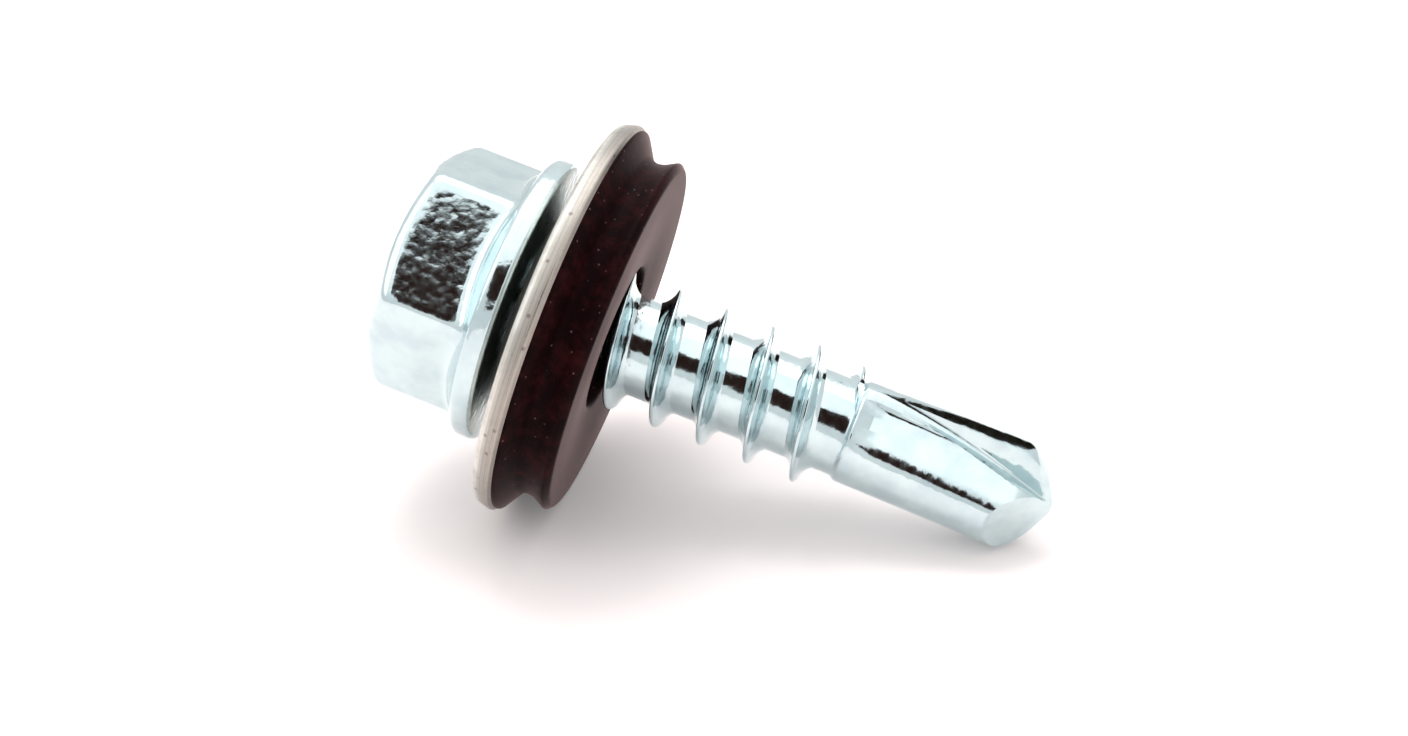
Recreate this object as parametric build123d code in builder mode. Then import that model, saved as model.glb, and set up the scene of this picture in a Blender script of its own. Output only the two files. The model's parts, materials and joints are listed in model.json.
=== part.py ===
from build123d import *
import math
import os

# Self-drilling roofing screw, ST4.8 x 19, with a hexagon head, a forged collar and a captive sealing washer.
# Everything is in millimetres. The pieces are drawn with the screw's axis on Z: the underside of the collar is
# Z = 0, the head is below it and the drill point is towards +Z. At the end they are laid down together, as the
# screw rests on a flat surface: on the rim of its washer and the shoulder of its drill point, with +Z up.

# Hexagon head
across_flats = 8.0
head_height = 4.3  # underside of the collar to the top of the head
hex_corner_radius = 0.45
hex_turn = 21.9  # degrees from X to a corner of the hexagon
head_top_diameter = 7.0  # flat top inside the chamfer
head_chamfer_angle = 38.0  # degrees from the flat top
head_top_rounding = 0.4
indent_diameter = 3.9  # shallow dimple left by the heading punch
indent_depth = 0.3
indent_draft = 35.0  # degrees

# Collar forged in one with the head
collar_diameter = 10.2
collar_rim = 0.7
collar_slope = 28.0  # degrees, upper side of the collar
collar_chamfer = 0.2

# Shank and rolled thread
neck_diameter = 4.1
neck_length = 2.1
neck_taper = 0.35
core_diameter = 3.4
thread_diameter = 4.76
pitch = 1.7
crest_width = 0.1
ridge_width = 0.92  # at the core
knee_height = 0.25  # above the core, where the steep flank turns into its flatter foot
knee_width = 0.34
ridge_bite = 0.08  # how far the ridge reaches into the core
thread_start = 1.8
thread_end = 12.05
thread_start_angle = 65.0  # degrees from X
run_in = 0.35  # turns over which the ridge grows
run_out = 0.42  # turns over which it fades
faded_height = 0.03
fade_steps = 8

# Drill point
length = 19.2  # underside of the collar to the tip
drill_start = 11.8
drill_step = 0.15  # length of the chamfer up to the drill body
drill_root_diameter = 3.66
drill_diameter = 3.86  # at the cutting corners
point_angle = 108.0  # degrees
facet_slope = 47.5  # degrees, clearance facet behind each cutting lip
facet_turn = 95.0  # degrees from X to the facet's slope
chisel_rise = 0.1  # how far the cone's apex stands above the chisel edge
flute_length = 8.0
flute_radius = 20.0  # run-out of the flute, seen from the side
flute_turn_at_start = -8.0  # degrees from X to the cutting face, which twists a little
flute_turn_at_tip = 12.0
web_thickness = 0.4
flute_angle_at_start = 108.0  # degrees between the cutting face and the back wall
flute_angle_at_tip = 52.0
flute_stations = 5

# Sealing washer: dished disc with a bonded rubber seal, loose on the neck
washer_play = 0.08  # between the collar and the disc
bore_clearance = 0.1  # radial, round the neck
disc_diameter = 14.2
disc_thickness = 0.95
hub_diameter = 6.6
dish_angle = 13.0  # degrees
disc_edge_break = 0.1  # on the back edge of the rim
disc_bevel = 0.4  # on the front edge of the rim
seal_thickness = 2.37  # under the hub
seal_bore_diameter = 5.2
seal_top_diameter = 12.5  # where the rubber meets the disc
seal_waist_diameter = 12.1
seal_waist_height = 0.5
seal_lip_diameter = 12.8
seal_lip_edge = 0.2  # bevel round the lip
seal_face_diameter = 9.0  # inside it the face falls away to the bore
seal_face_hollow = 0.15


def polar(radius, angle):
    """Point in the XY plane at an angle in degrees from X."""
    return Vector(radius, 0).rotate(Axis.Z, angle)


def tan_deg(angle):
    return math.tan(math.radians(angle))


# Levels and radii that follow from the driving dimensions
collar_radius = collar_diameter / 2
neck_radius = neck_diameter / 2
core_radius = core_diameter / 2
drill_radius = drill_diameter / 2
drill_root_radius = drill_root_diameter / 2
shoulder = length + chisel_rise - drill_radius / tan_deg(point_angle / 2)
collar_top = collar_rim + (collar_radius - across_flats / 2) * tan_deg(collar_slope)

disc_back = washer_play
disc_radius = disc_diameter / 2
hub_radius = hub_diameter / 2
rim_radius = disc_radius - disc_thickness * math.sin(math.radians(dish_angle))
disc_bore_radius = neck_radius + bore_clearance
disc_front = disc_back + disc_thickness
hub_front_radius = hub_radius - disc_thickness * tan_deg(dish_angle / 2)
seal_top_radius = seal_top_diameter / 2
seal_face = disc_front + seal_thickness


def disc_front_level(radius):
    """Level of the disc's front side, which the rubber is bonded to."""
    return disc_front + (radius - hub_front_radius) * tan_deg(dish_angle)


def disc_back_level(radius):
    return disc_back + (radius - hub_radius) * tan_deg(dish_angle)


# Thread ridge: a helix with sections that shrink at both ends
thread_turns = (thread_end - thread_start) / pitch
thread_angle = math.degrees(math.atan2(pitch, math.pi * core_diameter))


def ridge_section(turn, share):
    """Section of the ridge after so many turns, at a share of its full height."""
    angle = thread_start_angle + 360 * turn
    height = faded_height + (thread_diameter / 2 - core_radius - faded_height) * share
    knee = faded_height / 2 + (knee_height - faded_height / 2) * share
    spread = 0.4 + 0.6 * share
    along = Vector(0, math.cos(math.radians(thread_angle)), math.sin(math.radians(thread_angle)))
    plane = Plane(
        origin=polar(core_radius, angle) + Vector(0, 0, thread_start + pitch * turn),
        x_dir=polar(1, angle),
        z_dir=along.rotate(Axis.Z, angle),
    )
    with BuildSketch(plane) as section:
        with BuildLine():
            Polyline(
                (-ridge_bite, -ridge_width / 2 * spread),
                (knee, -knee_width / 2 * spread),
                (height, -crest_width / 2),
                (height, crest_width / 2),
                (knee, knee_width / 2 * spread),
                (-ridge_bite, ridge_width / 2 * spread),
                close=True,
            )
        make_face()
    return section.sketch


ridge_helix = Helix(
    pitch=pitch,
    height=(thread_turns - run_in - run_out) * pitch,
    radius=core_radius,
    center=(0, 0, thread_start + run_in * pitch),
).rotate(Axis.Z, thread_start_angle + 360 * run_in)
ridge_start = ridge_section(run_in, 1)
fade_in = [ridge_section(run_in * i / fade_steps, i / fade_steps) for i in range(fade_steps + 1)]
fade_out = [
    ridge_section(thread_turns - run_out * i / fade_steps, i / fade_steps) for i in range(fade_steps, -1, -1)
]


# Flute: a hollow between a flat cutting face and a back wall, deeper and sharper towards the tip
def flute_section(level, turn):
    """Section of one flute at a level, as the wedge that is cut away."""
    from_start = level - (length - flute_length)
    share = from_start / flute_length
    depth_radius = drill_root_radius - from_start**2 / (2 * flute_radius)
    wedge_angle = flute_angle_at_start + (flute_angle_at_tip - flute_angle_at_start) * share**2
    face_angle = flute_turn_at_start + (flute_turn_at_tip - flute_turn_at_start) * share + turn
    root = polar(depth_radius, face_angle) + polar(web_thickness / 2, face_angle + 90)
    reach = drill_diameter
    with BuildSketch(Plane.XY.offset(level)) as section:
        with BuildLine():
            Polyline(
                root,
                root + polar(reach, face_angle),
                root + polar(reach, face_angle + wedge_angle),
                close=True,
            )
        make_face()
    return section.sketch


flute_span = flute_length + 2 * chisel_rise
flute_levels = [length - flute_length + flute_span * i / (flute_stations - 1) for i in range(flute_stations)]


with BuildPart() as screw:
    # Hexagon, chamfered at the top of the head by a turned outline
    with BuildSketch(Plane.XY.offset(-head_height)) as hexagon:
        RegularPolygon(across_flats / 2, 6, major_radius=False, rotation=hex_turn)
        fillet(hexagon.vertices(), hex_corner_radius)
    extrude(amount=head_height)
    with BuildSketch(Plane.XZ):
        with BuildLine():
            top_radius = head_top_diameter / 2
            chamfer_drop = (across_flats - top_radius) * tan_deg(head_chamfer_angle)
            outline = FilletPolyline(
                (0, -head_height),
                (top_radius, -head_height),
                (across_flats, chamfer_drop - head_height),
                radius=head_top_rounding,
            )
            Polyline(outline @ 1, (across_flats, head_height), (0, head_height), outline @ 0)
        make_face()
    revolve(axis=Axis.Z, mode=Mode.INTERSECT)

    # Collar, neck, core and drill body, turned in one
    with BuildSketch(Plane.XZ):
        with BuildLine():
            Polyline(
                (neck_radius, 0),
                (collar_radius - collar_chamfer, 0),
                (collar_radius, -collar_chamfer),
                (collar_radius, -collar_rim),
                (across_flats / 2, -collar_top),
                (0, -collar_top),
                (0, length + chisel_rise),
                (drill_radius, shoulder),
                (drill_root_radius, drill_start + drill_step),
                (core_radius, drill_start),
                (core_radius, neck_length + neck_taper),
                (neck_radius, neck_length),
                close=True,
            )
        make_face()
    revolve(axis=Axis.Z)

    # Dimple in the top of the head
    with BuildSketch(Plane.XY.offset(-head_height)):
        Circle(indent_diameter / 2)
    extrude(amount=indent_depth, taper=indent_draft, mode=Mode.SUBTRACT)

    # Thread, with its run-in and run-out
    sweep(ridge_start, path=ridge_helix, is_frenet=True)
    loft(fade_in)
    loft(fade_out)

    # Clearance facets behind the cutting lips, meeting in the chisel edge like the two sides of a roof
    with BuildSketch(Plane(origin=(0, 0, length), x_dir=polar(1, facet_turn), z_dir=polar(1, facet_turn - 90))):
        with BuildLine():
            half = drill_diameter
            fall = half * tan_deg(facet_slope)
            Polyline((0, 0), (half, -fall), (half, fall), (-half, fall), (-half, -fall), close=True)
        make_face()
    extrude(amount=drill_diameter, both=True, mode=Mode.SUBTRACT)

    # Two flutes
    for turn in (0, 180):
        loft([flute_section(level, turn) for level in flute_levels], mode=Mode.SUBTRACT)

with BuildPart() as washer_disc:
    with BuildSketch(Plane.XZ):
        with BuildLine():
            back_edge = rim_radius - disc_edge_break
            front_edge = disc_radius - disc_bevel
            Polyline(
                (disc_bore_radius, disc_back),
                (hub_radius, disc_back),
                (back_edge, disc_back_level(back_edge)),
                (rim_radius, disc_back_level(rim_radius) + disc_edge_break),
                (disc_radius, disc_front_level(disc_radius) - disc_bevel),
                (front_edge, disc_front_level(front_edge)),
                (hub_front_radius, disc_front),
                (disc_bore_radius, disc_front),
                close=True,
            )
        make_face()
    revolve(axis=Axis.Z)

with BuildPart() as rubber_seal:
    with BuildSketch(Plane.XZ):
        with BuildLine():
            lip_radius = seal_lip_diameter / 2
            top = disc_front_level(seal_top_radius)
            waist = (top + seal_face - seal_lip_edge) / 2
            Polyline(
                (hub_front_radius, disc_front),
                (seal_bore_diameter / 2, disc_front),
                (seal_bore_diameter / 2, seal_face - seal_face_hollow),
                (seal_face_diameter / 2, seal_face),
                (lip_radius - seal_lip_edge, seal_face),
                (lip_radius, seal_face - seal_lip_edge),
                (seal_waist_diameter / 2, waist + seal_waist_height / 2),
                (seal_waist_diameter / 2, waist - seal_waist_height / 2),
                (seal_top_radius, top),
                close=True,
            )
        make_face()
    revolve(axis=Axis.Z)

# The part laid down: the lean at which the washer's rim and the drill's shoulder touch the same flat surface
rim_point = (disc_radius, disc_front_level(disc_radius) - disc_bevel)
lean = math.atan2(rim_point[0] - drill_radius, shoulder - rim_point[1])
height = shoulder * math.sin(lean) + drill_radius * math.cos(lean)
lying = Plane(
    origin=(0, 0, height),
    x_dir=(math.sin(lean), 0, math.cos(lean)),
    z_dir=(math.cos(lean), 0, -math.sin(lean)),
).location

screw.part.label = "screw"
washer_disc.part.label = "washer_disc"
rubber_seal.part.label = "rubber_seal"
for piece in (screw, washer_disc, rubber_seal):
    piece.part.locate(lying)
box = Compound([screw.part, washer_disc.part, rubber_seal.part]).bounding_box()
for piece in (screw, washer_disc, rubber_seal):
    piece.part.locate(Location((-box.center().X, -box.center().Y, 0)) * lying)

os.makedirs("parts", exist_ok=True)
export_step(screw.part, "parts/screw.step")
export_step(washer_disc.part, "parts/washer_disc.step")
export_step(rubber_seal.part, "parts/rubber_seal.step")
print("lean", round(math.degrees(lean), 3), "height", round(height, 4))
print("box", Compound([screw.part, washer_disc.part, rubber_seal.part]).bounding_box())
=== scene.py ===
"""Looks of a self drilling roofing screw on a pale floor: bright zinc plate, satin washer, rubber seal."""

import json
import logging
import math
from dataclasses import dataclass, field
from enum import Enum
from typing import Any, Callable, Iterable

import bmesh
import bpy
from mathutils import Euler, Matrix, Vector

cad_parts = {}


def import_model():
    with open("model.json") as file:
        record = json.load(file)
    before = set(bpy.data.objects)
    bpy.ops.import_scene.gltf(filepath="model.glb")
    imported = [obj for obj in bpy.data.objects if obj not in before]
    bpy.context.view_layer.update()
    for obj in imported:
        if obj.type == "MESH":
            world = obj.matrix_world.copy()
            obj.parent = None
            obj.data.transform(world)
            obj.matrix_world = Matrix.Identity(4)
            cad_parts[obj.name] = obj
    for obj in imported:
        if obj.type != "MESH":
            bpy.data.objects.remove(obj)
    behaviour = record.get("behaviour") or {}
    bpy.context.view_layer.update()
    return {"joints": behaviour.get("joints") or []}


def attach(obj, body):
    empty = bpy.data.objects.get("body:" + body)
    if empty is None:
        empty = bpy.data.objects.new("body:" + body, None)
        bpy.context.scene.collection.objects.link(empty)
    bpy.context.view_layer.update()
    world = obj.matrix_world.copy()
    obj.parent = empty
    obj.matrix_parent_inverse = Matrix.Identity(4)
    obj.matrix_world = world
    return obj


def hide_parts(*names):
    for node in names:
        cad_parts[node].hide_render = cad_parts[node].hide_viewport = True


LOG = logging.getLogger("screw")
MM = 0.001

Tree = bpy.types.NodeTree
Socket = bpy.types.NodeSocket
Point = tuple[float, float]
Colour = tuple[float, float, float, float]
Rounding = tuple[int, float, int]
Settings = dict[str | int, Any]
Links = dict[str | int, Socket]


class Combine(Enum):
    """How one closed shape is joined with another."""

    ADD = "UNION"
    CUT = "DIFFERENCE"


class Origin(Enum):
    """Which shape a face of the finished screw comes from."""

    HEAD = 0
    BODY = 1
    RIDGE = 2
    FACET = 3
    FLUTE = 4


class Body(Enum):
    """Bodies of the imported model."""

    SCREW = "screw"
    WASHER = "washer"


def tan_deg(angle: float) -> float:
    """Tangent of an angle in degrees."""
    return math.tan(math.radians(angle))


def clamp(value: float) -> float:
    """The value, held between 0 and 1."""
    return min(1.0, max(0.0, value))


def ease(value: float) -> float:
    """Smooth step from 0 to 1."""
    share = clamp(value)
    return share * share * (3.0 - 2.0 * share)


def polar(radius: float, angle: float) -> Vector:
    """Point in the screw's XY plane at an angle in degrees from X."""
    turn = math.radians(angle)
    return Vector((radius * math.cos(turn), radius * math.sin(turn), 0.0))


def linear(colour: str) -> Colour:
    """Linear colour of an sRGB hex value.

    Args:
        colour: Hex value such as "#d4e8ec".

    Returns:
        Red, green, blue and an alpha of 1.
    """
    parts = [int(colour[i : i + 2], 16) / 255.0 for i in (1, 3, 5)]
    turned = [p / 12.92 if p <= 0.04045 else ((p + 0.055) / 1.055) ** 2.4 for p in parts]
    return (turned[0], turned[1], turned[2], 1.0)


def set_up(node: bpy.types.Node, settings: Settings, links: Links) -> None:
    """Gives a node its settings and links.

    Args:
        node: The node.
        settings: Values of sockets (by name or number), properties, or "stops" of a ramp, each a place and
            a colour.
        links: Sockets that feed the node's inputs.
    """
    for name, value in settings.items():
        if name == "stops":
            elements = node.color_ramp.elements
            while len(elements) < len(value):
                elements.new(0.5)
            for element, (place, colour) in zip(elements, value):
                element.position = place
                element.color = colour
        elif isinstance(name, int) or name in node.inputs:
            node.inputs[name].default_value = value
        else:
            setattr(node, name, value)
    for name, socket in links.items():
        node.id_data.links.new(socket, node.inputs[name])


def add_node(
    tree: Tree, kind: str, settings: Settings | None = None, links: Links | None = None
) -> bpy.types.Node:
    """Adds a node with its settings and links.

    Args:
        tree: Node tree that gets the node.
        kind: Blender's name of the node.
        settings: As for set_up.
        links: As for set_up.

    Returns:
        The new node.
    """
    node = tree.nodes.new(kind)
    set_up(node, settings or {}, links or {})
    return node


def grey(level: float) -> Colour:
    """Linear grey of a level."""
    return (level, level, level, 1.0)


# Meshes -------------------------------------------------------------------------------------------


def bevel(mesh: bmesh.types.BMesh, verts: list[bmesh.types.BMVert], offset: float, segments: int) -> None:
    """Rounds corners of a flat outline.

    Args:
        mesh: Mesh of the outline.
        verts: Its corners that are rounded.
        offset: How far along the sides the rounding starts.
        segments: Parts of the arc.
    """
    bmesh.ops.bevel(
        mesh,
        geom=verts,
        offset=offset,
        offset_type="OFFSET",
        segments=segments,
        profile=0.5,
        affect="VERTICES",
        material=-1,
    )


def spin(
    mesh: bmesh.types.BMesh,
    parts: list[Any],
    angle: float,
    steps: int,
    rise: float = 0.0,
    merge: bool = False,
) -> None:
    """Sweeps an outline round the Z axis.

    Args:
        mesh: Mesh of the outline.
        parts: What is swept.
        angle: Whole turn in radians.
        steps: Parts of the sweep.
        rise: Rise with each part.
        merge: Whether the last part joins the first.
    """
    bmesh.ops.spin(
        mesh,
        geom=parts,
        cent=(0, 0, 0),
        axis=(0, 0, 1),
        dvec=(0, 0, rise),
        angle=angle,
        steps=steps,
        use_merge=merge,
        use_duplicate=False,
    )


class Section:
    """Half section in the XZ plane, of a few points, that is rounded, divided and turned about the axis."""

    def __init__(self, points: Iterable[Point], closed: bool = False) -> None:
        """Starts the section.

        Args:
            points: Radius and level of each corner, in mm.
            closed: Whether the last corner joins the first.
        """
        self.mesh = bmesh.new()
        self.corners = [Vector((radius, 0.0, level)) for radius, level in points]
        verts = [self.mesh.verts.new(corner) for corner in self.corners]
        for start, end in zip(verts, verts[1:]):
            self.mesh.edges.new((start, end))
        if closed:
            self.mesh.edges.new((verts[-1], verts[0]))

    def round(self, *roundings: Rounding) -> None:
        """Rounds corners.

        Args:
            roundings: Number of the corner, how far along its sides the rounding starts, in mm, and the
                parts of its arc.
        """
        for corner, offset, segments in roundings:
            place = self.corners[corner]
            verts = [v for v in self.mesh.verts if (v.co - place).length < 1e-6]
            bevel(self.mesh, verts, offset, segments)

    def divide(self, longest: float) -> None:
        """Divides each side that is longer than a length, in mm."""
        for edge in self.mesh.edges[:]:
            cuts = int(edge.calc_length() / longest)
            if cuts:
                bmesh.ops.subdivide_edges(self.mesh, edges=[edge], cuts=cuts)

    def turned(self, steps: int) -> bmesh.types.BMesh:
        """Turns the section once round the axis.

        Args:
            steps: Columns round the axis.

        Returns:
            The closed shape.
        """
        spin(self.mesh, self.mesh.verts[:] + self.mesh.edges[:], math.tau, steps, merge=True)
        return closed_up(self.mesh)


def closed_up(mesh: bmesh.types.BMesh) -> bmesh.types.BMesh:
    """Merges doubles and turns all faces outwards."""
    bmesh.ops.remove_doubles(mesh, verts=mesh.verts[:], dist=1e-5)
    bmesh.ops.recalc_face_normals(mesh, faces=mesh.faces[:])
    return mesh


def reshape(mesh: bmesh.types.BMesh, move: Callable[[Vector], Vector]) -> bmesh.types.BMesh:
    """Moves every vertex.

    Args:
        mesh: Mesh to shape.
        move: Gives the new place of a point.

    Returns:
        The same mesh.
    """
    for vert in mesh.verts:
        vert.co = move(vert.co)
    return mesh


@dataclass(frozen=True)
class Lay:
    """Where the screw's own frame lies: Z along its axis to the tip, X on top, Y towards the viewer."""

    axis: Vector
    origin: Vector

    @classmethod
    def from_joint(cls, joint: dict[str, Any], centre_level: float) -> "Lay":
        """Reads the frame off the washer's joint.

        Args:
            joint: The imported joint, whose place is the middle of the washer's hub.
            centre_level: Level of that middle along the screw's axis, in mm.

        Returns:
            The lay of the screw.
        """
        axis = Vector(joint["axis"]).normalized()
        place = joint.get("pos_m") or joint["pos"]
        return cls(axis=axis, origin=Vector(place) - axis * centre_level * MM)

    def matrix(self) -> Matrix:
        """Matrix from the screw's frame in mm to the world in metres."""
        side = Vector((0.0, -1.0, 0.0))
        top = side.cross(self.axis)
        turn = Matrix((top, side, self.axis)).transposed()
        return Matrix.Translation(self.origin) @ (turn * MM).to_4x4()


class Shape:
    """Closed shape as an object, which other shapes are added to or cut from."""

    def __init__(self, name: str, mesh: bmesh.types.BMesh, origin: Origin = Origin.BODY) -> None:
        """Makes the object.

        Args:
            name: Name of the piece.
            mesh: Its mesh in the screw's frame, which is used up.
            origin: What its faces come from.
        """
        for face in mesh.faces:
            face.material_index = origin.value
            face.smooth = True
        data = bpy.data.meshes.new(name)
        mesh.to_mesh(data)
        mesh.free()
        for _ in Origin:
            data.materials.append(None)
        self.object = bpy.data.objects.new(name, data)
        bpy.context.scene.collection.objects.link(self.object)

    def combine(self, how: Combine, other: "Shape") -> None:
        """Adds or cuts another shape, which is used up.

        Args:
            how: Whether it is added or cut.
            other: The other shape.
        """
        modifier = self.object.modifiers.new(how.name, "BOOLEAN")
        modifier.operation = how.value
        modifier.solver = "MANIFOLD"
        modifier.object = other.object
        graph = bpy.context.evaluated_depsgraph_get()
        done = bpy.data.meshes.new_from_object(self.object.evaluated_get(graph))
        self.object.modifiers.clear()
        used = [self.object.data, other.object.data]
        self.object.data = done
        bpy.data.objects.remove(other.object)
        for data in used:
            bpy.data.meshes.remove(data)

    def crease(self, angle: float, across_origins: bool = True) -> None:
        """Marks the sharp edges.

        Args:
            angle: Edges sharper than this many degrees are creased.
            across_origins: Whether edges between faces of different origins are creased as well.
        """
        data = self.object.data
        data.set_sharp_from_angle(angle=math.radians(angle))
        if not across_origins:
            return
        mesh = bmesh.new()
        mesh.from_mesh(data)
        for edge in mesh.edges:
            if len({face.material_index for face in edge.link_faces}) > 1:
                edge.smooth = False
        for face in mesh.faces:
            face.smooth = True
        mesh.to_mesh(data)
        mesh.free()

    def finish(
        self, lay: Lay, material: bpy.types.Material, body: Body, node: str, slot: str
    ) -> bpy.types.Object:
        """Lays the piece down, dresses it and ties it to the frame.

        Args:
            lay: Where the screw's frame lies.
            material: The finish of the piece.
            body: Body that it rides on.
            node: CAD node that it stands for.
            slot: The record's material slot; not used.

        Returns:
            The finished object.
        """
        data = self.object.data
        data.transform(lay.matrix())
        for polygon in data.polygons:
            polygon.material_index = 0
        data.materials.clear()
        data.materials.append(material)
        data.name = self.object.name
        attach(self.object, body.value)
        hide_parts(node)
        LOG.info("%s: %d faces on %s, for node %s", self.object.name, len(data.polygons), body.value, node)
        return self.object


# Finishes -----------------------------------------------------------------------------------------


def new_material(name: str) -> tuple[bpy.types.Material, Tree, bpy.types.Node]:
    """Starts a node material.

    Args:
        name: Name of the finish.

    Returns:
        The material, its node tree and its shader.
    """
    material = bpy.data.materials.new(name)
    material.use_nodes = True
    tree = material.node_tree
    return material, tree, tree.nodes["Principled BSDF"]


def surface_mm(tree: Tree) -> Socket:
    """Object coordinates in mm."""
    place = add_node(tree, "ShaderNodeTexCoord").outputs["Object"]
    settings = {"Scale": Vector((1, 1, 1)) / MM}
    return add_node(tree, "ShaderNodeMapping", settings, {"Vector": place}).outputs["Vector"]


def noise(place: Socket, scale: float, detail: float, roughness: float = 0.5, line: bool = False) -> Socket:
    """Cloudy pattern.

    Args:
        place: Coordinates in mm, or a level in mm for a pattern along a line.
        scale: Patches per mm.
        detail: Octaves of finer patches.
        roughness: Share of its strength that each octave hands on.
        line: Whether the pattern runs along a line.

    Returns:
        Socket with the pattern.
    """
    space, socket = ("1D", "W") if line else ("3D", "Vector")
    settings = {"noise_dimensions": space, "Scale": scale, "Detail": detail, "Roughness": roughness}
    return add_node(place.id_data, "ShaderNodeTexNoise", settings, {socket: place}).outputs["Fac"]


def spots(place: Socket, spacing_mm: float, radii: Point, levels: Point) -> Socket:
    """Scattered round spots.

    Args:
        place: Coordinates in mm.
        spacing_mm: Mean distance between spots.
        radii: Shares of the spacing at which a spot's edge starts and ends.
        levels: Value inside a spot and outside it.

    Returns:
        Socket with the pattern.
    """
    settings = {"Scale": 1.0 / spacing_mm, "Randomness": 1.0}
    cells = add_node(place.id_data, "ShaderNodeTexVoronoi", settings, {"Vector": place})
    return ranged(cells.outputs["Distance"], radii, levels)


def ranged(value: Socket, given: Point, wanted: Point) -> Socket:
    """A value carried from one range to another.

    Args:
        value: Socket with the value.
        given: Range that it comes in.
        wanted: Range that it leaves in.

    Returns:
        Socket with the new value.
    """
    settings = {"From Min": given[0], "From Max": given[1], "To Min": wanted[0], "To Max": wanted[1]}
    return add_node(value.id_data, "ShaderNodeMapRange", settings, {"Value": value}).outputs["Result"]


def scaled(value: Socket, factor: float, offset: Socket | float) -> Socket:
    """A value times a factor, plus an offset."""
    fixed = isinstance(offset, float)
    settings = {"operation": "MULTIPLY_ADD", 1: factor} | ({2: offset} if fixed else {})
    links = {0: value} | ({} if fixed else {2: offset})
    return add_node(value.id_data, "ShaderNodeMath", settings, links).outputs["Value"]


def ramp(value: Socket, stops: list[tuple[float, Colour]]) -> Socket:
    """Colour ramp over a value, with stops as (place, colour)."""
    return add_node(value.id_data, "ShaderNodeValToRGB", {"stops": stops}, {"Fac": value}).outputs["Color"]


def mixed(factor: Socket, under: Socket | Colour, over: Socket | Colour) -> Socket:
    """Mix of two colours.

    Args:
        factor: Share of the second colour.
        under: First colour, fixed or from a socket.
        over: Second colour, fixed or from a socket.

    Returns:
        Socket with the mix.
    """
    given = {6: under, 7: over}
    fixed = {place: colour for place, colour in given.items() if isinstance(colour, tuple)}
    links = {place: colour for place, colour in given.items() if place not in fixed}
    node = add_node(factor.id_data, "ShaderNodeMix", {"data_type": "RGBA"} | fixed, {0: factor} | links)
    return node.outputs[2]


def relief(height: Socket, height_mm: float, under: Socket | None = None) -> Socket:
    """Normal of a fine relief.

    Args:
        height: Pattern of the relief, 0 to 1.
        height_mm: How high 1 stands.
        under: Normal of the relief that it lies on.

    Returns:
        Socket with the normal.
    """
    links = {"Height": height} | ({} if under is None else {"Normal": under})
    settings = {"Strength": 1.0, "Distance": height_mm * MM}
    return add_node(height.id_data, "ShaderNodeBump", settings, links).outputs["Normal"]


@dataclass(frozen=True)
class ZincPlate:
    """Bright electroplated zinc on forged steel, passivated clear blue: a mirror with fine orange peel."""

    colour: str = "#d0e0e2"
    stain: str = "#c3d4d8"
    roughness: float = 0.08
    cloud_per_mm: float = 0.9
    peel_mm: float = 0.24
    peel_height_mm: float = 0.0042
    wave_mm: float = 0.48
    wave_height_mm: float = 0.012

    def material(self) -> bpy.types.Material:
        """Builds the finish."""
        material, tree, shader = new_material("bright_zinc_plate")
        place = surface_mm(tree)
        cloud = noise(place, self.cloud_per_mm, 3.0, 0.55)
        peel = noise(place, 1.0 / self.peel_mm, 2.0, 0.6)
        wave = noise(place, 1.0 / self.wave_mm, 1.0)
        tone = ramp(cloud, [(0.35, linear(self.stain)), (0.6, linear(self.colour))])
        gloss = ranged(peel, (0.35, 0.7), (self.roughness, self.roughness * 1.9))
        bump = relief(peel, self.peel_height_mm, relief(wave, self.wave_height_mm))
        set_up(shader, {"Metallic": 1.0}, {"Base Color": tone, "Roughness": gloss, "Normal": bump})
        return material


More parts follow.
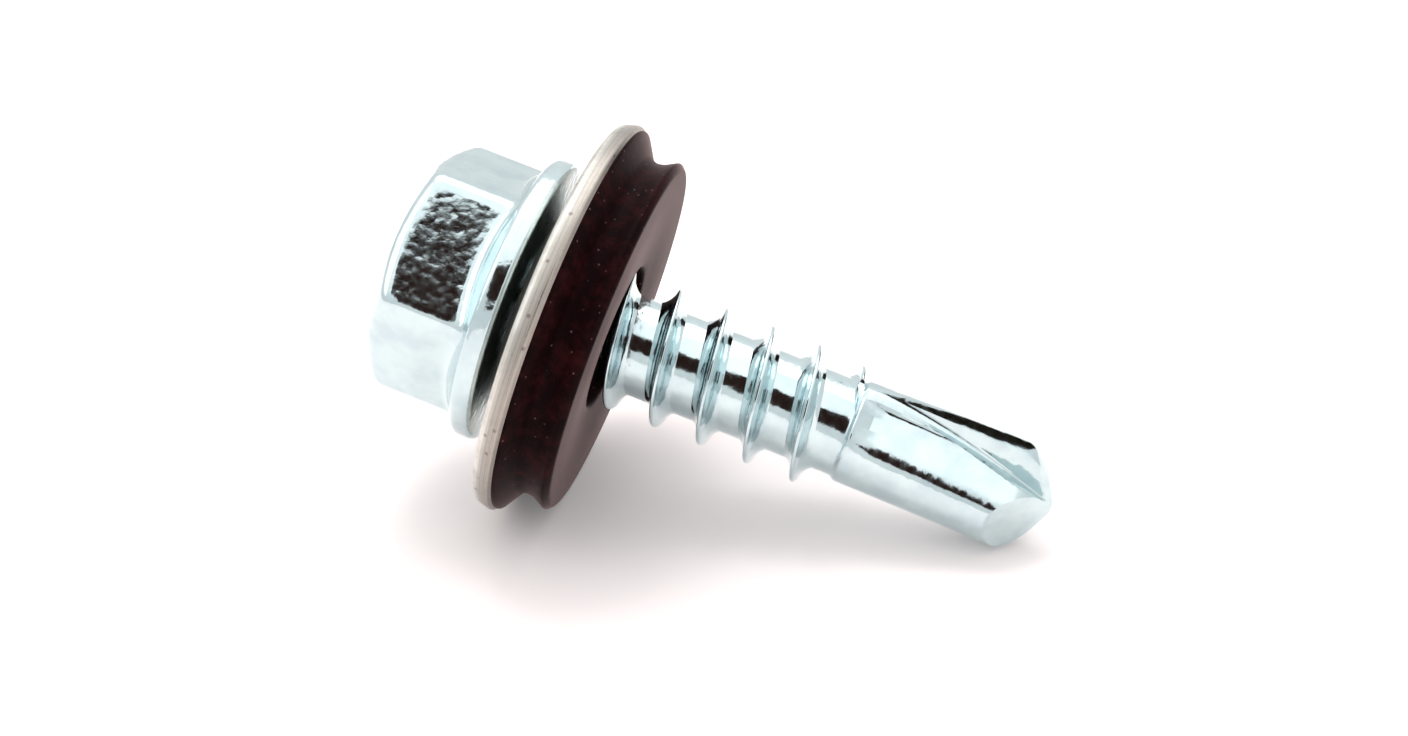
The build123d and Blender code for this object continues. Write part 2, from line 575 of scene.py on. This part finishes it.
@dataclass(frozen=True)
class SatinSteel:
    """Stamped washer steel, tumbled after stamping: satin, warm grey, with rings and small pits, and
    painted shade: a darker brownish band on the rim's front edge, next to the seal.
    """

    colour: str = "#dfddd6"
    dull: str = "#bebab2"
    # Painted shade: brownish grey laid over the rim's front edge, next to the seal.
    seal_shade: str = "#958c84"
    pitted: str = "#857a75"
    roughness: float = 0.34
    cloud_per_mm: float = 1.3
    grain_mm: float = 0.12
    grain_height_mm: float = 0.0018
    pit_mm: float = 0.6
    pit_depth_mm: float = 0.006
    streak_mm: float = 0.22
    # Painted shade band on the rim's front edge: levels along the axis where it starts and ends, and its
    # strongest share.
    seal_shade_from_mm: float = 1.18
    seal_shade_to_mm: float = 1.5
    seal_shade_share: float = 0.75
    ragged_mm: float = 0.25

    def material(self, lay: Lay) -> bpy.types.Material:
        """Builds the finish.

        Args:
            lay: Where the screw's frame lies, for the streaks round its axis.

        Returns:
            The material.
        """
        material, tree, shader = new_material("tumbled_satin_steel")
        place = surface_mm(tree)
        settings = {"operation": "DOT_PRODUCT", 1: lay.axis}
        along = add_node(tree, "ShaderNodeVectorMath", settings, {0: place}).outputs["Value"]
        level = scaled(along, 1.0, -lay.axis.dot(lay.origin) / MM)
        cloud = noise(place, self.cloud_per_mm, 4.0, 0.6)
        grain = noise(place, 1.0 / self.grain_mm, 2.0, 0.7)
        streaks = noise(level, 1.0 / self.streak_mm, 3.0, 0.7, line=True)
        pit = spots(place, self.pit_mm, (0.07, 0.16), (0.0, 1.0))
        tone = ramp(cloud, [(0.3, linear(self.dull)), (0.65, linear(self.colour))])
        # Painted shade: the rim's front edge turns darker towards the seal, over levels along the axis,
        # with a ragged border.
        ragged = scaled(cloud, self.ragged_mm, level)
        shade_band = ranged(ragged, (self.seal_shade_from_mm, self.seal_shade_to_mm), (0.0, self.seal_shade_share))
        edge = mixed(shade_band, tone, linear(self.seal_shade))
        ring = ranged(streaks, (0.35, 0.65), (0.7, 1.1))
        settings = {"data_type": "RGBA", "blend_type": "MULTIPLY", 0: 1.0}
        lined = add_node(tree, "ShaderNodeMix", settings, {6: edge, 7: ring}).outputs[2]
        dark = mixed(pit, linear(self.pitted), lined)
        gloss = ranged(grain, (0.3, 0.7), (self.roughness * 0.8, self.roughness * 1.35))
        bump = relief(pit, self.pit_depth_mm, relief(grain, self.grain_height_mm))
        set_up(shader, {"Metallic": 1.0}, {"Base Color": dark, "Roughness": gloss, "Normal": bump})
        return material


@dataclass(frozen=True)
class SealRubber:
    """Vulcanised EPDM: near black with a red cast, finely rough, with a pale bloom and specks of talc."""

    colour: str = "#100203"
    worn: str = "#2a0a0c"
    speck: str = "#665251"
    bloom: str = "#b29a98"
    roughness: float = 0.5
    specular: float = 0.035
    sheen: float = 0.85
    sheen_roughness: float = 0.25
    cloud_per_mm: float = 1.6
    grain_mm: float = 0.16
    grain_height_mm: float = 0.006
    speck_mm: float = 0.4

    def material(self) -> bpy.types.Material:
        """Builds the finish."""
        material, tree, shader = new_material("epdm_rubber")
        place = surface_mm(tree)
        cloud = noise(place, self.cloud_per_mm, 5.0, 0.7)
        grain = noise(place, 1.0 / self.grain_mm, 3.0, 0.7)
        speck = spots(place, self.speck_mm, (0.04, 0.12), (0.7, 0.0))
        tone = ramp(cloud, [(0.45, linear(self.colour)), (0.7, linear(self.worn))])
        settings = {
            "Roughness": self.roughness,
            "Specular IOR Level": self.specular,
            "Sheen Weight": self.sheen,
            "Sheen Roughness": self.sheen_roughness,
            "Sheen Tint": linear(self.bloom),
        }
        dusted = mixed(speck, tone, linear(self.speck))
        set_up(shader, settings, {"Base Color": dusted, "Normal": relief(grain, self.grain_height_mm)})
        return material


# Pieces -------------------------------------------------------------------------------------------


@dataclass(frozen=True)
class Head:
    """Forged hexagon head with its collar, below the screw's level 0."""

    across_flats: float = 8.0
    height: float = 4.3
    corner_radius: float = 0.65
    turn: float = 21.9
    top_diameter: float = 7.5
    chamfer_angle: float = 28.0
    top_rounding: float = 0.22
    edge_softness: float = 0.3
    foot_fillet: float = 0.3
    indent_diameter: float = 3.9
    indent_depth: float = 0.3
    indent_draft: float = 35.0
    collar_diameter: float = 10.2
    collar_rim: float = 0.7
    collar_slope: float = 28.0
    collar_edge: float = 0.2
    mean_radius: float = 4.3
    top_margin: float = 0.1
    collar_margin: float = 0.15
    rim_margin: float = 0.02
    columns: int = 240
    crowding: float = 0.75

    @property
    def upper(self) -> float:
        """Level at which the wall meets the chamfer, at the mean radius."""
        return -self.height + (self.mean_radius - self.top_diameter / 2) * tan_deg(self.chamfer_angle)

    @property
    def lower(self) -> float:
        """Level at which the wall meets the collar, at the mean radius."""
        return -self.collar_rim - (self.collar_diameter / 2 - self.mean_radius) * tan_deg(self.collar_slope)

    def section(self) -> Section:
        """Half section, with the hexagon's wall at its mean radius."""
        top = -self.height
        top_radius = self.top_diameter / 2
        collar = self.collar_diameter / 2
        dimple = self.indent_diameter / 2
        floor = dimple - self.indent_depth * tan_deg(self.indent_draft)
        section = Section(
            [
                (0.0, top + self.indent_depth),
                (floor, top + self.indent_depth),
                (dimple, top),
                (top_radius, top),
                (self.mean_radius, self.upper),
                (self.mean_radius, self.lower),
                (collar, -self.collar_rim),
                (collar, 0.0),
                (0.0, 0.0),
            ]
        )
        section.round(
            (1, 0.2, 4),
            (2, 0.12, 4),
            (3, self.top_rounding, 5),
            (4, self.edge_softness, 5),
            (5, self.foot_fillet, 5),
            (6, 0.14, 5),
            (7, self.collar_edge, 5),
        )
        section.divide(0.3)
        return section

    def wall_radius(self, angle: float) -> float:
        """Radius of the rounded hexagon.

        Args:
            angle: Degrees from X.

        Returns:
            The radius in mm.
        """
        off = abs((angle - self.turn + 30.0) % 60.0 - 30.0)
        flat = self.across_flats / 2
        slim = math.cos(math.radians(30))
        centre = (flat - self.corner_radius) / slim
        tangent = math.atan2(self.corner_radius * 0.5, centre + self.corner_radius * slim)
        turned = math.radians(off)
        if turned > tangent:
            return flat / math.cos(math.radians(30.0 - off))
        sine = centre * math.sin(turned)
        return centre * math.cos(turned) + math.sqrt(self.corner_radius**2 - sine * sine)

    def press(self, place: Vector) -> Vector:
        """Presses a turned point to the hexagon.

        Args:
            place: Point of the turned shape.

        Returns:
            Its place on the head.
        """
        radius = math.hypot(place.x, place.y)
        if radius < 1e-6:
            return place
        angle = math.degrees(math.atan2(place.y, place.x))
        angle -= self.crowding * math.degrees(math.sin(math.radians(6 * (angle - self.turn)))) / 6
        shift = self.wall_radius(angle) - self.mean_radius
        rise, fall = tan_deg(self.chamfer_angle), tan_deg(self.collar_slope)
        share, slope = 1.0, rise
        if place.z < self.upper + self.edge_softness:
            inner = self.top_diameter / 2 - self.top_margin
            share = clamp((radius - inner) / (self.mean_radius - self.edge_softness / 2 - inner))
        elif place.z < self.lower - self.foot_fillet:
            start, end = self.upper + self.edge_softness, self.lower - self.foot_fillet
            slope = rise + (fall - rise) * clamp((place.z - start) / (end - start))
        else:
            outer = self.collar_diameter / 2 - self.collar_margin
            inner = self.mean_radius + self.foot_fillet
            share, slope = 1.0 - clamp((radius - inner) / (outer - inner)), fall
            if place.z > -self.collar_rim + self.rim_margin:
                share = 0.0
        moved = polar(radius + share * shift, angle)
        return Vector((moved.x, moved.y, place.z + share * shift * slope))

    def shape(self) -> Shape:
        """The head as a closed shape."""
        mesh = reshape(self.section().turned(self.columns), self.press)
        bmesh.ops.recalc_face_normals(mesh, faces=mesh.faces[:])
        return Shape("head", mesh, Origin.HEAD)


@dataclass(frozen=True)
class Shank:
    """Neck, core and drill body turned in one, with the rolled thread."""

    neck_diameter: float = 4.1
    neck_length: float = 2.1
    neck_taper: float = 0.35
    neck_root: float = 1.0
    core_diameter: float = 3.4
    thread_diameter: float = 4.76
    pitch: float = 1.7
    thread_start: float = 1.8
    thread_end: float = 12.05
    thread_start_angle: float = 65.0
    run_in: float = 0.35
    run_out: float = 0.42
    ridge_foot: tuple[Point, ...] = ((-0.05, 0.57), (0.03, 0.40), (0.25, 0.17))
    crest_half_width: float = 0.05
    fade_depth: float = 0.1
    faded_height: float = 0.1
    faded_width: float = 0.4
    length: float = 19.2
    chisel_rise: float = 0.1
    drill_start: float = 11.8
    drill_step: float = 0.15
    drill_root_diameter: float = 3.66
    drill_diameter: float = 3.86
    point_angle: float = 108.0
    point_bulge: float = 0.32
    point_bulge_radius: float = 1.3
    flat_angle: float = 42.0
    flat_end: float = 60.5
    flat_end_at_tip: float = 75.0
    flat_blend: float = 34.0
    flat_run_in: float = 22.0
    flat_step: float = 2.0
    land_start: float = 15.0
    land_full: float = 24.0
    bend_share: float = 0.35
    bend_loss: float = 0.2
    columns: int = 192
    thread_columns: int = 96

    def core(self) -> Shape:
        """The turned body as a closed shape."""
        neck, core = self.neck_diameter / 2, self.core_diameter / 2
        root, drill = self.drill_root_diameter / 2, self.drill_diameter / 2
        tip, bulge = self.length + self.chisel_rise, self.point_bulge_radius
        section = Section(
            [
                (0.0, -self.neck_root),
                (neck, -self.neck_root),
                (neck, self.neck_length),
                (core, self.neck_length + self.neck_taper),
                (core, self.drill_start),
                (root, self.drill_start + self.drill_step),
                (drill, tip - drill / tan_deg(self.point_angle / 2)),
                (bulge, tip - bulge / tan_deg(self.point_angle / 2) + self.point_bulge),
                (0.0, tip),
            ]
        )
        section.round((2, 0.12, 4), (3, 0.12, 4), (4, 0.05, 3), (5, 0.06, 3), (6, 0.2, 4), (7, 0.4, 6))
        section.divide(0.5)
        return Shape("shank", reshape(section.turned(self.columns), self.flatten), Origin.BODY)

    def slant(self, angle: float, end: float) -> float:
        """How far the normal of the flattened land leans from the radius.

        Args:
            angle: Degrees from X.
            end: Degrees at which the flat ends.

        Returns:
            The lean in degrees.
        """
        if angle < end:
            return angle - self.flat_angle
        full, bend = end - self.flat_angle, self.flat_blend * self.bend_share
        if angle < end + bend:
            return full * (1.0 - self.bend_loss * (angle - end) / bend)
        kept = 1.0 - self.bend_loss
        return max(0.0, kept * full * (end + self.flat_blend - angle) / (self.flat_blend - bend))

    def flatten(self, place: Vector) -> Vector:
        """Presses the drill's two lands flatter on their backs, as the forging dies do.

        Args:
            place: Point of the round shank.

        Returns:
            Its place on the flattened shank.
        """
        start = self.drill_start + self.drill_step
        if place.z < start:
            return place
        along = (place.z - start) / (self.length - start)
        end = self.flat_end + (self.flat_end_at_tip - self.flat_end) * along
        angle = math.degrees(math.atan2(place.y, place.x)) % 180.0
        drop = 0.0
        reach = max(angle, self.land_full)
        while reach < end + self.flat_blend:
            drop += tan_deg(self.slant(reach + self.flat_step / 2, end)) * math.radians(self.flat_step)
            reach += self.flat_step
        share = ease((angle - self.land_start) / (self.land_full - self.land_start))
        keep = 1.0 - drop * ease(along * self.flat_run_in) * share
        return Vector((place.x * keep, place.y * keep, place.z))

    def ridge(self) -> Shape:
        """The thread's hollow-flanked ridge as a closed shape, which grows from the core and fades away."""
        core, height = self.core_diameter / 2, (self.thread_diameter - self.core_diameter) / 2
        half = [(core + up, width) for up, width in self.ridge_foot + ((height, self.crest_half_width),)]
        section = Section([(r, -z) for r, z in half] + [(r, z) for r, z in reversed(half)], closed=True)
        for first, second, offset, segments in ((1, 6, 0.12, 4), (2, 5, 0.19, 5), (3, 4, 0.03, 3)):
            section.round((first, offset, segments), (second, offset, segments))
        mesh = section.mesh
        bmesh.ops.contextual_create(mesh, geom=mesh.edges[:])
        turns = (self.thread_end - self.thread_start) / self.pitch
        steps = round(turns * self.thread_columns)
        spin(mesh, mesh.faces[:], turns * math.tau, steps, rise=turns * self.pitch / steps)
        bmesh.ops.recalc_face_normals(mesh, faces=mesh.faces[:])
        return Shape("thread", reshape(mesh, self.fade), Origin.RIDGE)

    def fade(self, place: Vector) -> Vector:
        """Moves a point of the full ridge, which starts on X at level 0, to its place on the shank.

        Args:
            place: Point of the full ridge.

        Returns:
            Its place, lower and narrower where the ridge runs in or out.
        """
        turns = (self.thread_end - self.thread_start) / self.pitch
        part = (math.atan2(place.y, place.x) / math.tau) % 1.0
        turn = part + round(place.z / self.pitch - part)
        off = place.z - turn * self.pitch
        share = min(ease(turn / self.run_in), ease((turns - turn) / self.run_out))
        radius, low = math.hypot(place.x, place.y), self.core_diameter / 2 - self.fade_depth
        tall = self.faded_height + (1.0 - self.faded_height) * share
        wide = self.faded_width + (1.0 - self.faded_width) * share
        moved = polar(low + (radius - low) * tall, self.thread_start_angle + 360.0 * part)
        return Vector((moved.x, moved.y, self.thread_start + turn * self.pitch + off * wide))


@dataclass(frozen=True)
class DrillPoint:
    """Cutters of the drill point: two flutes and the clearance facets that meet in the chisel edge."""

    length: float = 19.2
    chisel_rise: float = 0.1
    root_radius: float = 1.83
    diameter: float = 3.86
    facet_slope: float = 47.5
    facet_turn: float = 95.0
    flute_length: float = 8.0
    flute_radius: float = 20.0
    flute_turn_at_start: float = -8.0
    flute_turn_at_tip: float = 12.0
    flute_angle_at_start: float = 108.0
    flute_angle_at_tip: float = 52.0
    flute_root: float = 0.05
    web: float = 0.4
    stations: int = 28

    def facets(self) -> Shape:
        """Roof-shaped cutter over the chisel edge."""
        half = self.diameter
        fall = half * tan_deg(self.facet_slope)
        outline = [(0.0, 0.0), (half, -fall), (half, fall), (-half, fall), (-half, -fall)]
        mesh = bmesh.new()
        mesh.faces.new([mesh.verts.new((across, -half, self.length + up)) for across, up in outline])
        side = bmesh.ops.extrude_face_region(mesh, geom=mesh.faces[:])["geom"]
        moved = [part for part in side if isinstance(part, bmesh.types.BMVert)]
        bmesh.ops.translate(mesh, verts=moved, vec=(0, 2 * half, 0))
        turn = Matrix.Rotation(math.radians(self.facet_turn), 3, "Z")
        bmesh.ops.rotate(mesh, verts=mesh.verts[:], cent=(0, 0, 0), matrix=turn)
        bmesh.ops.recalc_face_normals(mesh, faces=mesh.faces[:])
        return Shape("facet_cutter", mesh, Origin.FACET)

    def sweep(self, place: Vector, turn: float) -> Vector:
        """Moves a point of a plain corner prism to the flute's cutter.

        Args:
            place: Shares along the cutting face and along the back wall, and the share of the length.
            turn: Degrees by which the flute is turned.

        Returns:
            The point of the cutter.
        """
        span = self.flute_length + 2 * self.chisel_rise
        along = span * place.z
        depth = self.root_radius - along**2 / (2 * self.flute_radius)
        share = along / self.flute_length
        wedge = self.flute_angle_at_start + (self.flute_angle_at_tip - self.flute_angle_at_start) * share**2
        face = self.flute_turn_at_start + (self.flute_turn_at_tip - self.flute_turn_at_start) * share + turn
        root = polar(depth, face) + polar(self.web / 2, face + 90)
        reach = self.diameter
        level = Vector((0, 0, self.length - self.flute_length + along))
        return root + polar(reach * place.x, face) + polar(reach * place.y, face + wedge) + level

    def flute(self, turn: float) -> Shape:
        """Cutter of one flute.

        Args:
            turn: Degrees by which it is turned.

        Returns:
            The cutter.
        """
        mesh = bmesh.new()
        corners = [mesh.verts.new(corner) for corner in ((0, 0, 0), (1, 0, 0), (0, 1, 0))]
        mesh.faces.new(corners)
        bevel(mesh, [corners[0]], self.flute_root, 4)
        spin(mesh, mesh.faces[:], 0.0, self.stations, rise=1 / self.stations)
        reshape(mesh, lambda place: self.sweep(place, turn))
        bmesh.ops.recalc_face_normals(mesh, faces=mesh.faces[:])
        return Shape("flute_cutter", mesh, Origin.FLUTE)


@dataclass(frozen=True)
class Screw:
    """The forged and rolled screw, one solid piece."""

    head: Head = field(default_factory=Head)
    shank: Shank = field(default_factory=Shank)
    point: DrillPoint = field(default_factory=DrillPoint)
    finish: ZincPlate = field(default_factory=ZincPlate)

    def build(self, lay: Lay) -> bpy.types.Object:
        """Joins head, shank and thread and cuts the point.

        Args:
            lay: Where the screw's frame lies.

        Returns:
            The finished screw.
        """
        body = self.shank.core()
        body.object.name = "plated_screw"
        body.combine(Combine.ADD, self.shank.ridge())
        body.combine(Combine.ADD, self.head.shape())
        body.combine(Combine.CUT, self.point.facets())
        for turn in (0.0, 180.0):
            body.combine(Combine.CUT, self.point.flute(turn))
        body.crease(28.0)
        return body.finish(lay, self.finish.material(), Body.SCREW, "screw", "zinc_steel")


@dataclass(frozen=True)
class WasherDisc:
    """Dished disc of the sealing washer."""

    play: float = 0.08
    bore_diameter: float = 4.3
    diameter: float = 14.2
    thickness: float = 0.95
    hub_diameter: float = 6.6
    dish_angle: float = 17.0
    dish_diameter: float = 10.6
    rim_angle: float = 8.0
    edge_break: float = 0.1
    bevel: float = 0.4
    columns: int = 256
    finish: SatinSteel = field(default_factory=SatinSteel)

    @property
    def front(self) -> float:
        """Level of the hub's front side."""
        return self.play + self.thickness

    @property
    def hub_front_radius(self) -> float:
        """Radius at which the front side starts to rise."""
        return self.hub_diameter / 2 - self.thickness * tan_deg(self.dish_angle / 2)

    @property
    def back_knee(self) -> Point:
        """Radius and level at which the back side flattens towards the rim."""
        radius = self.dish_diameter / 2
        return radius, self.play + (radius - self.hub_diameter / 2) * tan_deg(self.dish_angle)

    @property
    def front_knee(self) -> Point:
        """Radius and level at which the front side flattens towards the rim."""
        radius, level = self.back_knee
        lean = math.radians((self.dish_angle + self.rim_angle) / 2)
        across = self.thickness / math.cos(math.radians((self.dish_angle - self.rim_angle) / 2))
        return radius - across * math.sin(lean), level + across * math.cos(lean)

    def front_level(self, radius: float) -> float:
        """Level of the front side at a radius near the rim."""
        return self.front_knee[1] + (radius - self.front_knee[0]) * tan_deg(self.rim_angle)

    def back_level(self, radius: float) -> float:
        """Level of the back side at a radius near the rim."""
        return self.back_knee[1] + (radius - self.back_knee[0]) * tan_deg(self.rim_angle)

    def bevel_level(self, radius: float) -> float:
        """Level of the bevel on the rim's front edge at a radius."""
        outer, inner = self.diameter / 2, self.diameter / 2 - self.bevel
        low, high = self.front_level(outer) - self.bevel, self.front_level(inner)
        return low + (high - low) * (outer - radius) / self.bevel

    def build(self, lay: Lay) -> bpy.types.Object:
        """Turns and dresses the disc.

        Args:
            lay: Where the screw's frame lies.

        Returns:
            The finished disc.
        """
        outer, bore = self.diameter / 2, self.bore_diameter / 2
        rim = outer - self.thickness * math.sin(math.radians(self.rim_angle))
        section = Section(
            [
                (bore, self.play),
                (self.hub_diameter / 2, self.play),
                self.back_knee,
                (rim - self.edge_break, self.back_level(rim - self.edge_break)),
                (rim, self.back_level(rim) + self.edge_break),
                (outer, self.front_level(outer) - self.bevel),
                (outer - self.bevel, self.front_level(outer - self.bevel)),
                self.front_knee,
                (self.hub_front_radius, self.front),
                (bore, self.front),
            ],
            closed=True,
        )
        section.round((1, 0.7, 6), (2, 0.7, 6), (3, 0.06, 3), (4, 0.06, 3), (5, 0.09, 4), (6, 0.09, 4))
        section.divide(0.6)
        shape = Shape("washer_disc_satin", section.turned(self.columns))
        shape.crease(40.0, across_origins=False)
        return shape.finish(lay, self.finish.material(lay), Body.WASHER, "washer_disc", "washer_metal")


@dataclass(frozen=True)
class RubberSeal:
    """Rubber ring bonded to the disc's front, waisted between the disc and its lip."""

    disc: WasherDisc = field(default_factory=WasherDisc)
    thickness: float = 2.37
    bore_diameter: float = 5.2
    top_diameter: float = 13.96
    shoulder: float = 0.1
    top_undercut: float = 0.02
    waist_diameter: float = 12.2
    waist_height: float = 0.4
    lip_diameter: float = 12.8
    lip_edge: float = 0.2
    face_diameter: float = 9.0
    face_hollow: float = 0.15
    columns: int = 256
    finish: SealRubber = field(default_factory=SealRubber)

    def build(self, lay: Lay) -> bpy.types.Object:
        """Turns and dresses the seal.

        Args:
            lay: Where the screw's frame lies.

        Returns:
            The finished seal.
        """
        front = self.disc.front
        face = front + self.thickness
        top_radius, lip = self.top_diameter / 2, self.lip_diameter / 2
        top = self.disc.bevel_level(top_radius)
        waist = (top + self.shoulder + face - self.lip_edge) / 2
        section = Section(
            [
                (self.disc.hub_front_radius, front),
                (self.bore_diameter / 2, front),
                (self.bore_diameter / 2, face - self.face_hollow),
                (self.face_diameter / 2, face),
                (lip - self.lip_edge, face),
                (lip, face - self.lip_edge),
                (self.waist_diameter / 2, waist + self.waist_height / 2),
                (self.waist_diameter / 2, waist - self.waist_height / 2),
                (top_radius, top + self.shoulder),
                (top_radius - self.top_undercut, top),
                self.disc.front_knee,
            ],
            closed=True,
        )
        section.round((2, 0.1, 4), (3, 0.7, 6), (4, 0.08, 4), (5, 0.08, 4))
        section.round((6, 0.19, 5), (7, 0.19, 5), (8, 0.07, 4))
        section.divide(0.3)
        shape = Shape("seal_epdm", section.turned(self.columns))
        shape.crease(60.0, across_origins=False)
        return shape.finish(lay, self.finish.material(), Body.WASHER, "rubber_seal", "seal_rubber")


# Studio -------------------------------------------------------------------------------------------


@dataclass(frozen=True)
class Camera:
    """Camera above the floor, looking down on the lying screw."""

    place: tuple[float, float, float]
    turn: tuple[float, float, float]
    lens_mm: float = 48.757
    sensor_mm: float = 36.0

    def build(self) -> None:
        """Makes the camera and sets it as the scene's."""
        data = bpy.data.cameras.new("camera")
        data.lens = self.lens_mm
        data.sensor_width = self.sensor_mm
        data.clip_start = 0.002
        data.clip_end = 20.0
        camera = bpy.data.objects.new("camera", data)
        camera.location = self.place
        camera.rotation_euler = Euler([math.radians(angle) for angle in self.turn])
        bpy.context.scene.collection.objects.link(camera)
        bpy.context.scene.camera = camera


@dataclass(frozen=True)
class Card:
    """Flat panel round the object: a soft lamp, or a dark card that shows only in glossy surfaces."""

    name: str
    azimuth: float
    elevation: float
    distance: float
    width: float
    height: float
    radiance: float = 1.0
    colour: str = "#ffffff"
    mirrored: bool = True
    aim: tuple[float, float, float] = (0.0, 0.0, 0.005)

    def placed(self, thing: bpy.types.Object) -> None:
        """Puts a thing at the card's place, facing the aim."""
        flat = math.radians(self.elevation)
        turn = math.radians(self.azimuth)
        out = Vector((math.cos(flat) * math.sin(turn), -math.cos(flat) * math.cos(turn), math.sin(flat)))
        thing.location = Vector(self.aim) + out * self.distance
        thing.rotation_euler = out.to_track_quat("Z", "Y").to_euler()
        bpy.context.scene.collection.objects.link(thing)

    def lamp(self) -> None:
        """Makes it a soft lamp whose face has the given radiance."""
        data = bpy.data.lights.new(self.name, "AREA")
        data.shape = "RECTANGLE"
        data.size = self.width
        data.size_y = self.height
        data.energy = self.radiance * math.pi * self.width * self.height
        data.color = linear(self.colour)[:3]
        lamp = bpy.data.objects.new(self.name, data)
        lamp.visible_glossy = self.mirrored
        self.placed(lamp)

    def card(self) -> None:
        """Makes it a card that only glossy surfaces see."""
        mesh = bmesh.new()
        bmesh.ops.create_grid(mesh, x_segments=1, y_segments=1, size=0.5)
        bmesh.ops.scale(mesh, vec=(self.width, self.height, 1.0), verts=mesh.verts[:])
        data = bpy.data.meshes.new(self.name)
        mesh.to_mesh(data)
        mesh.free()
        material = bpy.data.materials.new(self.name)
        material.use_nodes = True
        tree = material.node_tree
        tree.nodes.remove(tree.nodes["Principled BSDF"])
        settings = {"Color": linear(self.colour), "Strength": self.radiance}
        glow = add_node(tree, "ShaderNodeEmission", settings)
        tree.links.new(glow.outputs[0], tree.nodes["Material Output"].inputs["Surface"])
        data.materials.append(material)
        thing = bpy.data.objects.new(self.name, data)
        self.placed(thing)
        for ray in ("camera", "diffuse", "shadow", "transmission", "volume_scatter"):
            setattr(thing, f"visible_{ray}", False)


@dataclass(frozen=True)
class Studio:
    """Pale floor, soft light and the camera."""

    camera: Camera
    lamps: tuple[Card, ...] = ()
    cards: tuple[Card, ...] = ()
    floor_colour: str = "#ebe3e2"
    floor_size: float = 3.0
    floor_glow: float = 0.15
    glow_hidden: float = 0.03
    fill_held_back: float = 0.12

    def floor(self) -> None:
        """Lays the pale floor, which glows a little, and a little less to the viewer."""
        mesh = bmesh.new()
        bmesh.ops.create_grid(mesh, x_segments=1, y_segments=1, size=self.floor_size / 2)
        data = bpy.data.meshes.new("floor")
        mesh.to_mesh(data)
        mesh.free()
        material, tree, shader = new_material("pale_floor")
        ray = add_node(tree, "ShaderNodeLightPath")
        glow = scaled(ray.outputs["Is Camera Ray"], -self.glow_hidden, self.floor_glow)
        settings = {
            "Base Color": linear(self.floor_colour),
            "Roughness": 0.9,
            "Specular IOR Level": 0.0,
            "Emission Color": grey(1.0),
        }
        set_up(shader, settings, {"Emission Strength": glow})
        data.materials.append(material)
        floor = bpy.data.objects.new("floor", data)
        bpy.context.scene.collection.objects.link(floor)

    def surroundings(self) -> None:
        """Soft white room: brighter overhead, dimmer to matt surfaces, plain white to the viewer."""
        world = bpy.data.worlds.new("studio")
        bpy.context.scene.world = world
        world.use_nodes = True
        tree = world.node_tree
        back = tree.nodes["Background"]
        around = add_node(tree, "ShaderNodeTexCoord").outputs["Generated"]
        parts = add_node(tree, "ShaderNodeSeparateXYZ", {}, {"Vector": around})
        height = ranged(parts.outputs["Z"], (-1.0, 1.0), (0.0, 1.0))
        levels = ((0.48, 0.9), (0.51, 0.9), (0.68, 0.95), (0.82, 1.1), (0.92, 1.5))
        room = ramp(height, [(place, grey(level)) for place, level in levels])
        ray = add_node(tree, "ShaderNodeLightPath")
        seen = mixed(ray.outputs["Is Camera Ray"], room, grey(1.0))
        fill = scaled(ray.outputs["Is Diffuse Ray"], -self.fill_held_back, 1.0)
        set_up(back, {}, {"Color": seen, "Strength": fill})

    def build(self) -> None:
        """Sets up the whole studio."""
        self.floor()
        self.surroundings()
        for lamp in self.lamps:
            lamp.lamp()
        for card in self.cards:
            card.card()
        self.camera.build()
        bpy.context.scene.view_settings.view_transform = "Standard"


def studio() -> Studio:
    """The studio with its lamps and cards in place."""
    lamps = (
        Card(
            "overhead_lamp",
            azimuth=200.0,
            elevation=68.0,
            distance=0.5,
            width=0.5,
            height=0.4,
            radiance=1.3,
        ),
        Card("side_lamp", azimuth=-70.0, elevation=35.0, distance=0.5, width=0.3, height=0.3, radiance=0.8),
        Card(
            "shadow_lamp",
            azimuth=222.0,
            elevation=74.0,
            distance=0.5,
            width=0.14,
            height=0.14,
            radiance=7.0,
            mirrored=False,
        ),
    )
    cards = (
        Card(
            "viewer",
            azimuth=7.0,
            elevation=34.5,
            distance=0.3,
            width=0.17,
            height=0.18,
            colour="#2a1712",
        ),
        Card(
            "behind",
            azimuth=180.0,
            elevation=0.0,
            distance=0.02,
            width=0.0105,
            height=0.017,
            colour="#1a140c",
            aim=(0.01525, 0.0, 0.0135),
        ),
    )
    camera = Camera(place=(0.013607, -0.0566982, 0.0351527), turn=(63.0266, 0.3805, 13.6681))
    return Studio(camera=camera, lamps=lamps, cards=cards)


def corners(box: Iterable[Iterable[float]]) -> list[list[float]]:
    """The corners of a box as plain lists."""
    return [[float(part) for part in corner] for corner in box]


def main() -> None:
    """Builds the studio and the pieces in order."""
    logging.basicConfig(level=logging.INFO, format="%(name)s: %(message)s")
    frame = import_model()
    disc = WasherDisc()
    lay = Lay.from_joint(frame["joints"][0], disc.play + disc.thickness / 2)
    studio().build()
    Screw().build(lay)
    disc.build(lay)
    RubberSeal(disc=disc).build(lay)
    bpy.context.view_layer.update()


if __name__ == "__main__":
    main()
